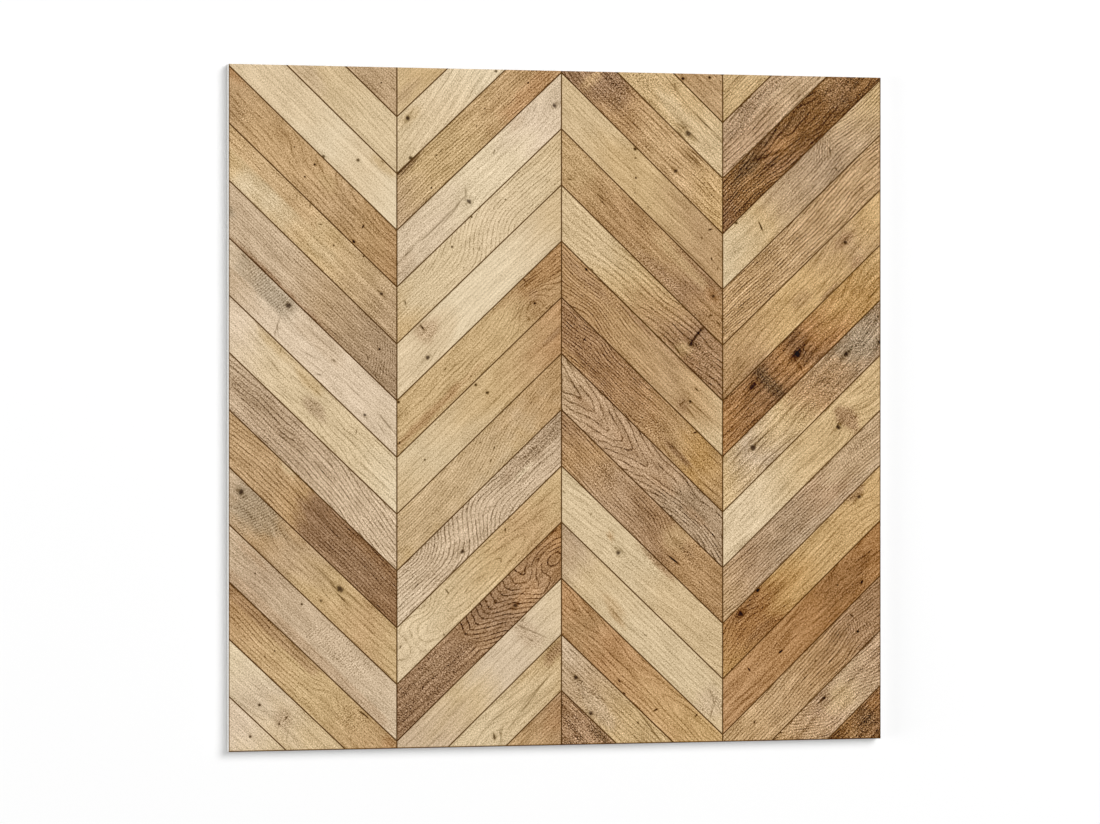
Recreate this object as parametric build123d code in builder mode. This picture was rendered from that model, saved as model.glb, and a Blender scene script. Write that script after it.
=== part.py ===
"""Self-adhesive vinyl tile, 300 mm square, lying face up.

Four bonded layers, all cut flush in one stroke: a siliconised release liner underneath, the
adhesive coat that it protects, the white vinyl core, and on top the printed film with its
clear wear layer. The film is pressed with the joints of a chevron floor: four columns of
narrow planks, each plank with a fine bevel, so the joints are shallow grooves.

Frame: millimetres, +Z out of the printed face, +Y towards the top of the pattern, origin at
the centre of the underside.
"""

import os
from math import atan2, cos, degrees

from build123d import *

# Driving dimensions of the sheet
TILE_SIDE = 300.0
LINER_THICKNESS = 0.15
ADHESIVE_THICKNESS = 0.15
CORE_THICKNESS = 4.20
FILM_THICKNESS = 0.50

# Driving dimensions of the chevron: joints run down from each ridge seam to the next valley seam
COLUMNS = 4
PLANKS_ALONG_SEAM = 12
JOINT_FALL = 71.0
FIRST_JOINT_INSET = 1.0  # from the tile's top edge down to the first joint, on a ridge seam

# Driving dimensions of the pressed joint between two planks
GROOVE_DEPTH = 0.15
GROOVE_WIDTH = 0.60
GROOVE_FLOOR_WIDTH = 0.10

HALF_SIDE = TILE_SIDE / 2
COLUMN_WIDTH = TILE_SIDE / COLUMNS
JOINT_PITCH = TILE_SIDE / PLANKS_ALONG_SEAM
PLANKS_ABOVE_EDGE = 3  # planks that start above the tile's top edge on a ridge and cross it
BEVEL_TAPER = degrees(atan2((GROOVE_WIDTH - GROOVE_FLOOR_WIDTH) / 2, GROOVE_DEPTH))

# Heights of the layers' undersides
ADHESIVE_Z = LINER_THICKNESS
CORE_Z = ADHESIVE_Z + ADHESIVE_THICKNESS
FILM_Z = CORE_Z + CORE_THICKNESS
GROOVE_FLOOR_Z = FILM_Z + FILM_THICKNESS - GROOVE_DEPTH


def joint_height(line, x):
    """Height of joint number `line` at x. It falls from each ridge seam to the valley seams beside it."""
    from_ridge = abs((x + HALF_SIDE + COLUMN_WIDTH) % (2 * COLUMN_WIDTH) - COLUMN_WIDTH)
    return HALF_SIDE - FIRST_JOINT_INSET - line * JOINT_PITCH - JOINT_FALL * from_ridge / COLUMN_WIDTH


def plank_corners(column, line):
    """The plank below joint `line`, anticlockwise, inset so that a groove is left round it."""
    inset = GROOVE_FLOOR_WIDTH / 2
    left = column * COLUMN_WIDTH - HALF_SIDE + inset
    right = left + COLUMN_WIDTH - 2 * inset
    drop = inset / cos(atan2(JOINT_FALL, COLUMN_WIDTH))
    return [
        (left, joint_height(line + 1, left) + drop),
        (right, joint_height(line + 1, right) + drop),
        (right, joint_height(line, right) - drop),
        (left, joint_height(line, left) - drop),
    ]


# Release liner: one sheet of siliconised paper
with BuildPart() as release_liner:
    with BuildSketch():
        Rectangle(TILE_SIDE, TILE_SIDE)
    extrude(amount=LINER_THICKNESS)
release_liner.part.label = "release_liner"

# Adhesive coat: pressure-sensitive, over the whole underside of the core
with BuildPart() as adhesive_coat:
    with BuildSketch(Plane.XY.offset(ADHESIVE_Z)):
        Rectangle(TILE_SIDE, TILE_SIDE)
    extrude(amount=ADHESIVE_THICKNESS)
adhesive_coat.part.label = "adhesive_coat"

# Core: the white vinyl sheet that shows as the pale edge
with BuildPart() as vinyl_core:
    with BuildSketch(Plane.XY.offset(CORE_Z)):
        Rectangle(TILE_SIDE, TILE_SIDE)
    extrude(amount=CORE_THICKNESS)
vinyl_core.part.label = "vinyl_core"

# Printed film: a thin sheet up to the groove floor, then every plank as a bevelled pad on it
with BuildPart() as printed_film:
    with BuildSketch(Plane.XY.offset(FILM_Z)):
        Rectangle(TILE_SIDE, TILE_SIDE)
    extrude(amount=FILM_THICKNESS - GROOVE_DEPTH)
    with BuildSketch(Plane.XY.offset(GROOVE_FLOOR_Z)):
        for column in range(COLUMNS):
            for line in range(-PLANKS_ABOVE_EDGE, PLANKS_ALONG_SEAM):
                with BuildLine():
                    Polyline(*plank_corners(column, line), close=True)
                make_face()
        Rectangle(TILE_SIDE, TILE_SIDE, mode=Mode.INTERSECT)
    extrude(amount=GROOVE_DEPTH, taper=BEVEL_TAPER)
printed_film.part.label = "printed_film"

os.makedirs("parts", exist_ok=True)
for layer in (release_liner, adhesive_coat, vinyl_core, printed_film):
    export_step(layer.part, f"parts/{layer.part.label}.step")
print("film faces:", len(printed_film.part.faces()))
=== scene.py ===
"""Looks of the self-adhesive vinyl tile: chevron wood print, white core, adhesive and paper liner.

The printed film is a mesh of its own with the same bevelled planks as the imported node. Each
plank's wood is described in millimetres on the plank: how far along it from the ridge seam, and
how far across it from its upper joint. The description is painted on the mesh as smooth fields,
such as the run of the grain or the way to the nearest knot, and the material draws the fine
grain from those fields at any scale.
"""

from math import atan2, cos, pi, radians, sin
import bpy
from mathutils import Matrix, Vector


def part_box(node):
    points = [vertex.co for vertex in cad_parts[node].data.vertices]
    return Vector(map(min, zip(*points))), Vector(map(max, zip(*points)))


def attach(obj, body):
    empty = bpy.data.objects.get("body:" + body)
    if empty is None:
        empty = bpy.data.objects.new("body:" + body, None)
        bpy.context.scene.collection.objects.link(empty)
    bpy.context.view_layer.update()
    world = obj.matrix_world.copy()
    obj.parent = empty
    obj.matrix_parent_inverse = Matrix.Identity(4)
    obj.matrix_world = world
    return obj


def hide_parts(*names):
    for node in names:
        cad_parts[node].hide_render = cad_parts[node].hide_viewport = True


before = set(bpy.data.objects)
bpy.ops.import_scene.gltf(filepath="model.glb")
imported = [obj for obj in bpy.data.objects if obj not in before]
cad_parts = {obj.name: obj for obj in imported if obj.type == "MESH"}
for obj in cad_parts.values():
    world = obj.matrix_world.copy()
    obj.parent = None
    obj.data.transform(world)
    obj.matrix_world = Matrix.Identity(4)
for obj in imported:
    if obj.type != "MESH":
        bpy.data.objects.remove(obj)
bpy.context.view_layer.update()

from types import SimpleNamespace
from typing import NamedTuple

import bmesh
import bpy
import numpy as np
from mathutils import Matrix, Vector

MM = 0.001

# The tile, in millimetres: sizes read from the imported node, and the print's module
FILM_LOW, FILM_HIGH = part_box("printed_film")
TILE_SIDE = (FILM_HIGH.x - FILM_LOW.x) / MM
FILM_UNDERSIDE = FILM_LOW.z / MM
FACE_HEIGHT = FILM_HIGH.z / MM
COLUMNS = 4
PLANKS_ALONG_SEAM = 12
PLANKS_ABOVE_EDGE = 3
JOINT_FALL = 71.0
FIRST_JOINT_INSET = 1.0
GROOVE_DEPTH = 0.15
GROOVE_WIDTH = 0.60
GROOVE_FLOOR_WIDTH = 0.10

HALF_SIDE = TILE_SIDE / 2
COLUMN_WIDTH = TILE_SIDE / COLUMNS
JOINT_PITCH = TILE_SIDE / PLANKS_ALONG_SEAM
JOINT_ANGLE = atan2(JOINT_FALL, COLUMN_WIDTH)
PLANK_WIDTH = JOINT_PITCH * cos(JOINT_ANGLE)
PLANKS_A_COLUMN = PLANKS_ABOVE_EDGE + PLANKS_ALONG_SEAM
MESH_CELL = 1.25
CUT_TOLERANCE = 1e-4
CUT_EDGE = 1  # material index of the film's rim and underside, where the print is 0

# Tones of the print, as sRGB out of 255
TONES = {
    "cream": (227, 206, 171),
    "shell": (222, 199, 170),
    "oat": (221, 197, 160),
    "buff": (214, 191, 160),
    "linen": (215, 191, 152),
    "sand": (210, 183, 141),
    "stone": (200, 174, 142),
    "wheat": (203, 172, 125),
    "dusk": (188, 161, 130),
    "straw": (195, 164, 117),
    "honey": (199, 163, 111),
    "tan": (193, 158, 113),
    "fawn": (187, 157, 120),
    "malt": (184, 150, 108),
    "hazel": (179, 146, 111),
    "camel": (179, 143, 98),
    "rust": (182, 139, 94),
    "ochre": (182, 141, 85),
    "bronze": (173, 135, 91),
    "taupe": (165, 137, 105),
    "smoke": (150, 133, 108),
    "umber": (156, 120, 83),
    "chestnut": (161, 115, 66),
    "cocoa": (146, 112, 79),
    "walnut": (130, 91, 52),
    "peat": (118, 78, 32),
    "bark": (90, 60, 26),
}


class Spot(NamedTuple):
    """A worm hole or pin knot."""

    along: float
    across: float
    radius: float


class Dash(NamedTuple):
    """A short crack or dark fleck, turned from the plank's direction by turn degrees."""

    along: float
    across: float
    length: float
    turn: float = 0
    strength: float = 0.6
    width: float = 0.6


class Knot(NamedTuple):
    """A dark knot that the fibres go round, with its half length and half width."""

    along: float
    across: float
    length: float
    width: float


class Patch(NamedTuple):
    """A stain of another tone, with its half length and half width."""

    along: float
    across: float
    length: float
    width: float
    tone: str
    amount: float = 0.6


class Band(NamedTuple):
    """A strip of another tone between two distances across the plank."""

    across_from: float
    across_to: float
    along_from: float
    along_to: float
    tone: str
    amount: float = 0.8


class Hump(NamedTuple):
    """Growth rings that close round a place, so many of them within its half length and half width."""

    along: float
    across: float
    length: float
    width: float
    rings: float


class Heart(NamedTuple):
    """Growth rings nested as ovals, stretch times longer than wide; beyond length they run on straight."""

    along: float
    across: float
    length: float
    stretch: float


class Fall(NamedTuple):
    """Growth rings that fall by drop between two distances along, later by tilt for each mm across."""

    along_from: float
    along_to: float
    drop: float
    tilt: float = 0


class Arches(NamedTuple):
    """Growth rings nested as arches whose tips point along the plank.

    The tips lie on a line at across, sweep times the ring pitch apart. slant stands the upper arms
    straighter across the plank, and lays the lower ones down.
    """

    along_from: float
    along_to: float
    across: float
    sweep: float
    slant: float = 0


class Curl(NamedTuple):
    """Cross-grain ripples: turn tilts them from straight across, and ragged breaks them into flecks."""

    along: float
    across: float
    length: float
    width: float
    turn: float = 0
    ragged: float = 0.3


def plank(tones, pitch, depth, *features, lean=0.0, wave=1.0, streak=1.0):
    """A plank's wood. tones and depth are stops: a tone or a ring contrast, each with its place along."""
    return SimpleNamespace(
        tones=tones, pitch=pitch, depth=depth, features=features, lean=lean, wave=wave, streak=streak
    )


# The planks of each column, from the one that starts three above the tile's top edge on its ridge seam
COLUMN_A = (
    plank("fawn 100", 1.3, ".3 0", Spot(101, 5, 0.3), Spot(105, 12, 0.3)),
    plank("sand 62, linen 92", 2.2, ".4 0", Patch(62, 15, 8, 4, "stone", 0.5), wave=1.6, streak=0.8),
    plank(
        "oat 25, oat 50, cream 70, oat 88, cream 108", 3.0, ".3 0", Spot(86.5, 7.8, 0.7),
        Spot(74.3, 17.4, 0.7), Patch(97, 1, 7, 2.4, "straw"), Dash(95, 0.6, 2, 0, 0.5),
        Hump(54, 12, 16, 4, 1), streak=0.8,
    ),
    plank(
        "rust 0, malt 14, tan 32, tan 56, malt 72, camel 90, bronze 112", 1.75,
        ".45 0, .5 52, .75 66, .55 96", Heart(100, 0, 44, 3.6), Spot(56.8, 4.6, 0.5), Spot(57.3, 11.5, 0.4),
        Dash(91, 9.2, 1.7, 80, 0.9), Spot(92.5, 17, 0.7), Spot(45, 5.3, 0.3), Curl(21, 10, 5, 4, 20, 1),
        Patch(40, 5, 6, 2, "camel"), Patch(66, 6, 4, 3, "wheat", 0.5), Hump(40, 5, 9, 4, 1),
    ),
    plank(
        "wheat 8, linen 28, sand 48, wheat 70, fawn 104", 1.35, ".35 0, .3 60",
        Band(0, 7.6, -5, 62, "tan", 0.75), Patch(22, 13, 4, 4, "cream", 0.5),
        Patch(37, 13, 3.4, 4, "cream", 0.4), Patch(47, 14, 5, 3, "oat", 0.3), Dash(50.5, 0.9, 1.6, 50),
        Dash(59.5, 3.6, 1.4, 130), Spot(70, 6.2, 0.4), Knot(100, 6.8, 0.9, 0.6), Spot(83, 0.4, 0.4),
        Patch(68, 11, 7, 3, "sand"), Patch(54, 13, 5, 5, "tan", 0.3), streak=1.2,
    ),
    plank(
        "stone 20, stone 40, fawn 68, taupe 100, taupe 110", 1.2, ".55 0, .7 80, .5 95",
        Patch(48, 18, 32, 1.3, "cocoa", 0.9), Curl(103, 8, 8, 9, -40), Spot(99, 7, 0.4),
        Dash(98, 13.5, 2, 30), Patch(9, 9.5, 3, 2, "smoke"), Hump(100, 10, 10, 12, 2),
    ),
    plank(
        "buff 2, stone 16, shell 32, shell 92, buff 114", 2.6, ".35 0", Band(0, 8.2, 6, 44, "smoke", 0.35),
        Patch(33, 4, 9, 5, "smoke", 0.35), Band(0, 8, 44, 78, "stone", 0.45), Curl(29, 3.8, 15, 5, 8, 0.25),
        Knot(39.3, 3, 1, 1.1), Dash(70.5, 6.4, 2), Dash(70, 15.5, 2.4, -30), Dash(41.5, 12.5, 8, 65, 0.35),
        Dash(43, 14, 4, 40, 0.4), Dash(61, 12.2, 10, -18, 0.3), Dash(86, 10, 10, 0, 0.35),
        Dash(106, 10.2, 9, 7, 0.45), Dash(107, 13.8, 6, 12, 0.4), Knot(97, 14.3, 0.6, 0.6), wave=1.8,
    ),
    plank(
        "shell 8, oat 30, linen 52, linen 76, linen 90, cream 114", 2.6, ".35 0, .8 80",
        Patch(30, 1.5, 11, 2, "straw", 0.5), Patch(52, 2.5, 8, 2.4, "straw"),
        Patch(62, 9.5, 6, 2.6, "taupe"), Curl(62, 9.5, 6, 3, 30, 1), Dash(76, 9, 9, 0, 0.35),
        Dash(82, 4, 2.4, 55, 0.5), Dash(33, 1.5, 3, 60, 0.35), Dash(49, 14.5, 8, 0, 0.3), wave=2,
    ),
    plank(
        "stone 2, dusk 22, dusk 52, stone 72, stone 110", 1.7, ".9 0, 1.2 70", Hump(44, -3, 34, 9, 2),
        Fall(58, 124, 8), Patch(32, 8, 18, 5, "taupe", 0.5), wave=1.4, streak=1.2,
    ),
    plank(
        "malt 4, malt 36, camel 52, cocoa 60, cocoa 94, walnut 136", 1.35, "1 0, 1 50, .3 56, .8 72",
        Hump(30, -5, 30, 16, 4), Patch(36, 0.6, 4, 1.6, "sand", 0.8),
        Patch(92, 1.5, 20, 2.4, "walnut", 0.5),
    ),
    plank(
        "stone 4, fawn 20, malt 34, fawn 50, wheat 72, tan 92, wheat 112", 2.4, ".4 0",
        Patch(22, 5, 12, 8, "smoke", 0.5), Curl(24, 7, 12, 9, 24, 0.25), Hump(22, 4, 14, 9, 3),
        Knot(11.3, 4.2, 1.1, 1.2), Knot(72.4, 4.8, 1.5, 1.1), Dash(63, 5, 10, 0, 0.4),
        Dash(80, 3.6, 10, 0, 0.4), Dash(76, 7.2, 8, 2, 0.5), Dash(73, 1.9, 9, 0, 0.5),
        Knot(70, 14.5, 0.6, 0.6),
    ),
    plank(
        "stone 5, dusk 24, stone 44, buff 150", 1.5, ".35 0", Band(13.2, 18.2, 0, 115, "hazel", 0.4),
        Patch(15, 2.5, 9, 1.5, "hazel", 0.5), Spot(23, 7.4, 0.4), Spot(47.5, 3.1, 0.5), Spot(59, 12, 0.25),
        Curl(75, 6, 18, 6, 5, 0.6), Hump(34, 6, 22, 8, 2),
    ),
    plank(
        "bronze 3, tan 26, wheat 48, straw 72, tan 94", 1.7, ".8 0, .8 58, .3 72",
        Band(0, 5, -5, 58, "umber", 0.55), Hump(68, 4, 8, 5, 3), Dash(83.5, 1.4, 5, -6, 0.8),
        Dash(86, 1.1, 9, 0, 0.3), Spot(35.5, 8, 0.35), Patch(104, 3, 5, 3, "rust", 0.7),
        Curl(80, 6, 8, 6, 10, 0.8),
    ),
    plank(
        "cream 10, buff 32, sand 54", 2.6, ".35 0", Spot(29.5, 11.5, 0.6),
        Patch(42, 9.5, 4, 3.6, "taupe", 0.45), Curl(42, 9, 5, 5, 40, 1), Dash(42.3, 7.6, 2.6, 85, 0.7),
        Dash(41.6, 11.6, 2, 60), Hump(42, 9.5, 9, 6, 3),
    ),
    plank("shell 8, linen 28", 2.6, ".3 0", Spot(18.8, 6.2, 0.6)),
)

COLUMN_B = (
    plank("wheat 90, sand 130", 1.4, ".3 0", Patch(109, 13, 6, 2.4, "fawn", 0.5), streak=0.75),
    plank(
        "cream 66, oat 88, linen 110", 2.6, ".45 0", Knot(99.8, 3.6, 0.9, 1),
        Patch(99, 3.6, 5, 2.6, "straw", 0.4), Spot(111, 17.2, 0.8), Spot(56, 15.5, 0.6), lean=0.2,
    ),
    plank(
        "camel 26, tan 48, straw 70, straw 90, fawn 114", 1.25, ".6 0, .9 70",
        Patch(34, 15, 17, 4, "rust", 0.8), Patch(97, 0.3, 7, 1.2, "bark", 0.7), Spot(31.5, 11, 0.4),
        Spot(96, 15, 0.4), Spot(84.5, 6, 0.3), Spot(62, 9, 0.3), Spot(54, 6, 0.3), streak=1.2,
    ),
    plank(
        "buff 0, shell 22, cream 44, cream 72, buff 92, buff 134", 3.0, ".35 0", Knot(12.3, 8.3, 0.9, 1.2),
        Dash(20, 3.2, 4, 20, 0.4), Patch(31, 2.5, 3.5, 2, "stone"), Dash(46.8, 4.6, 2.4, 35, 0.5),
        Knot(70.3, 12.8, 0.9, 1.1), Dash(69, 9, 6, 50, 0.4), Dash(73, 10, 7, 5, 0.4),
        Dash(86, 10.6, 20, 1, 0.4), Dash(82, 11.6, 12, 4, 0.3), Patch(113, 13, 6, 4, "stone"),
        Dash(107, 10.4, 3, 0, 0.4), wave=2.2, streak=1.1,
    ),
    plank(
        "sand 8, linen 30, oat 52, linen 75, linen 94, wheat 118", 1.6, ".9 0, .9 66, .5 84",
        Fall(46, 86, 15, -0.6), Hump(94, 0, 10, 8, -3), Spot(72.7, 3.9, 0.5), Dash(105, 7.3, 1.8, 60, 0.8),
        Dash(64, 13, 2, 30), Spot(40.4, 5.2, 0.35), Spot(57, 0.4, 0.4), Spot(75, 14.2, 0.3), wave=1.4,
    ),
    plank(
        "sand 6, oat 28, cream 48, cream 78, oat 86, oat 112", 2.6, ".42 0", Hump(50, 22, 36, 14, 5),
        Patch(89, 5, 5, 4.5, "hazel", 0.5), Dash(89.8, 2.4, 2.6, 85, 0.8, 0.9), Knot(97.3, 13.8, 1.1, 0.9),
        Curl(89, 6, 5, 4, 60, 1), streak=0.8,
    ),
    plank(
        "bronze 3, camel 28, wheat 48, wheat 90, straw 115", 1.8, "1 0, .55 40",
        Patch(10, 4, 16, 5, "chestnut", 0.4), Hump(29, 9, 13, 6, 4), Patch(25.6, 9, 1.6, 2, "umber", 0.8),
        Spot(27.8, 11.5, 0.5), Dash(24.2, 0.9, 1.6, 80), Patch(26, 9, 3, 3, "bronze"),
        Dash(37, 9.5, 8, 8, 0.35), Dash(77.7, 4.8, 1.4), Spot(103, 0.8, 0.6), Spot(115, 14.2, 0.4),
        Patch(95, 14.5, 22, 1.6, "bronze", 0.8), wave=2,
    ),
    plank(
        "rust 4, tan 28, wheat 50, sand 68, linen 92, sand 115", 2.2, ".35 0", Spot(55.2, 1.2, 0.6),
        Spot(53.6, 7.3, 0.7), Spot(94.7, 9.3, 0.4), Patch(15, 9.5, 7, 1, "umber"), streak=0.88,
    ),
    plank(
        "camel 6, tan 26, straw 48, straw 120", 1.15, ".4 0, .55 24, .8 84", Hump(20, 20, 14, 10, -3),
        Dash(54, 3, 1.2), Dash(56, 12, 1.6, 20), Dash(51, 9, 1.4, 30), Patch(62, 16, 16, 2, "sand"),
        Patch(24, 9, 5, 5, "camel", 0.4), Fall(16, 92, 19, -0.3), Patch(78, 8, 44, 12, "stone", 0.4),
    ),
    plank(
        "dusk 8, stone 36, stone 88, buff 132", 1.6, ".7 8, 1.1 34, 1.25 60", Fall(52, 98, 20, -0.7),
        Hump(95, -2, 12, 9, -3), Patch(20, 4, 18, 3, "taupe"), Curl(22, 3.5, 16, 4, 30, 1),
        Patch(31, 7.7, 4, 0.9, "cream", 0.8), Knot(76, 14.3, 0.8, 0.7), wave=1.6, streak=1.3,
    ),
    plank(
        "wheat 8, tan 28, wheat 50, sand 72, linen 92, oat 110", 2.2, ".4 0, .7 50",
        Heart(66, 10.5, 50, 5.2), Dash(38, 2.6, 1.8, 50, 0.8), Dash(75.8, 4, 2.4, 85, 0.8),
        Dash(108, 7.2, 1.4, 30, 0.8), Dash(90, 17, 1.2, 60, 0.8), Hump(108, 9, 9, 7, 3),
        Hump(88, 2, 6, 6, 2),
    ),
    plank(
        "chestnut 0, umber 26, cocoa 54, umber 68, cocoa 82, cocoa 108", 3.4, "1.2 0, 1.2 66, 1 80",
        Arches(28, 66, 5.5, 0.95, 0.55), Hump(14, 7.5, 14, 6, 5), Patch(34, 13, 8, 4, "rust"),
        Patch(31, 4, 4, 3, "rust", 0.4), Curl(92, 9, 24, 10, 8, 0.85), Knot(40.6, 12, 0.9, 0.9),
        Patch(90, 6, 8, 3, "hazel", 0.4), wave=1.8, streak=1.15,
    ),
    plank(
        "oat 8, buff 34, buff 50, sand 72, stone 96", 2.4, ".35 0", Patch(28, 6, 4, 8, "stone", 0.8),
        Dash(25.5, 8, 12, 113, 0.35), Dash(29, 9, 5, 105, 0.3), Dash(28, 2, 4, 110, 0.45),
        Dash(25, 0.8, 3, 0, 0.5), Curl(28, 7, 4, 8, 20, 1), streak=0.8,
    ),
    plank(
        "straw 6, sand 30, linen 55", 2.6, ".4 0", Patch(7, 3.5, 6, 2.6, "umber", 0.7), Curl(8, 3, 5, 4, 5),
        Dash(30, 11, 26, 8, 0.4), Dash(27, 9.9, 18, 4, 0.3), Dash(44, 13, 6, 3, 0.4),
        Dash(40, 6.6, 20, -7, 0.35), Dash(53, 11.2, 2.8, 55, 0.9, 1.1), Dash(51, 13.5, 5, 40, 0.4),
        Hump(54, 11, 9, 8, 3),
    ),
    plank("umber 2, tan 34", 1.4, ".5 0", Patch(6, 9, 10, 6, "rust", 0.5)),
)

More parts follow.
